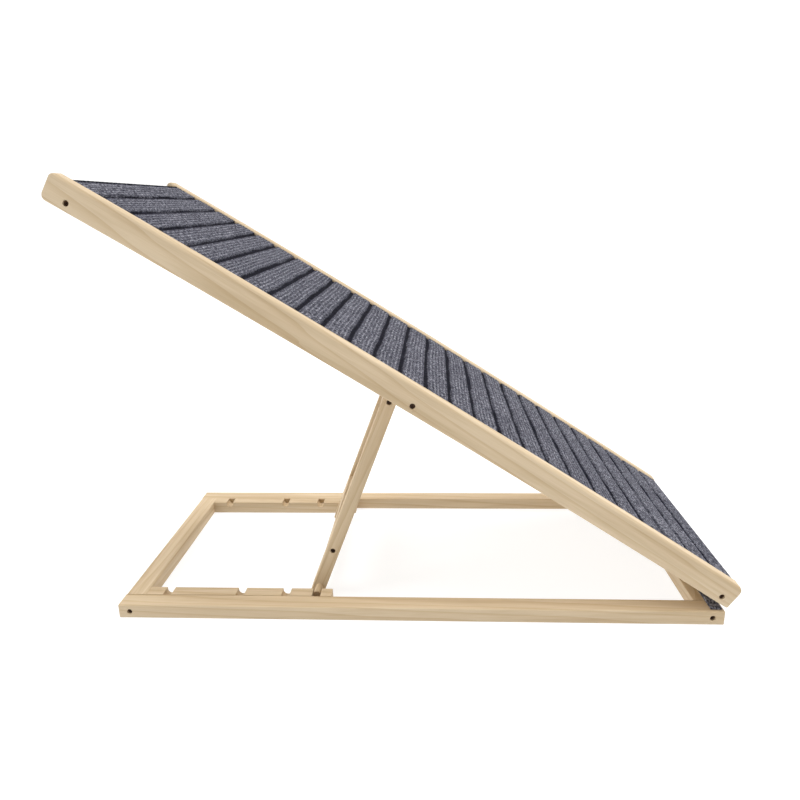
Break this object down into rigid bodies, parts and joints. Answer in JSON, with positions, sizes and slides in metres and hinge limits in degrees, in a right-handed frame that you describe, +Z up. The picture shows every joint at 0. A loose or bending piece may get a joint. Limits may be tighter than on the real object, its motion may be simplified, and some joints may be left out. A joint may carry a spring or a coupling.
{
  "type": "folding dog ramp",
  "caption": "Folding wooden dog ramp: ribbed carpet deck between pine side rails, hinged to a flat base with a notched strip on each side and propped by a hinged leg frame.",
  "frame": {"origin": "centre of the underside of the base's hinge rail, on the floor", "axes": "+X along the base towards the hinged low end of the ramp, +Y across the ramp towards its back rail, +Z up"},
  "size_m": [0.8573, 0.382, 0.5904],
  "materials": {
    "pine": "planed, unvarnished",
    "deck_board": "raw board",
    "carpet": "ribbed needle felt",
    "timber_screws": "dark, sunk socket heads",
    "hinge_steel": "zinc plated"
  },
  "bodies": {
    "base": {"base_rail_front": "pine", "base_rail_back": "pine", "base_end_rail": "pine", "base_hinge_rail": "pine", "notch_strip_front": "pine", "notch_strip_back": "pine", "base_screws": "timber_screws", "carpet_flap": "carpet", "ramp_hinge_base_leaves": "hinge_steel", "ramp_hinge_pins": "hinge_steel", "ramp_hinge_base_screws": "hinge_steel"},
    "ramp": {"ramp_rail_front": "pine", "ramp_rail_back": "pine", "ramp_top_rail": "pine", "ramp_middle_rail": "pine", "ramp_bottom_rail": "pine", "deck_board": "deck_board", "carpet": "carpet", "ramp_screws": "timber_screws", "ramp_hinge_ramp_leaves": "hinge_steel", "ramp_hinge_ramp_screws": "hinge_steel", "leg_hinge_ramp_leaves": "hinge_steel", "leg_hinge_pins": "hinge_steel", "leg_hinge_ramp_screws": "hinge_steel"},
    "leg": {"leg_front": "pine", "leg_back": "pine", "leg_top_bar": "pine", "leg_cross_bar": "pine", "leg_foot_rod": "pine", "leg_screws": "timber_screws", "leg_hinge_leg_leaves": "hinge_steel", "leg_hinge_leg_screws": "hinge_steel"}
  },
  "joints": [
    {"name": "ramp_hinge", "type": "hinge", "parent": "base", "child": "ramp", "pos_m": [0.0163, 0, 0.02265], "axis": [0, 1, 0], "range_deg": [-32.5, 0]},
    {"name": "leg_hinge", "type": "hinge", "parent": "ramp", "child": "leg", "pos_m": [-0.41193, 0, 0.30254], "axis": [0, 1, 0], "range_deg": [-78.79, 0]}
  ],
  "couplings": [
    {"joint": "leg_hinge", "follows": "ramp_hinge", "ratio": 2.424}
  ]
}
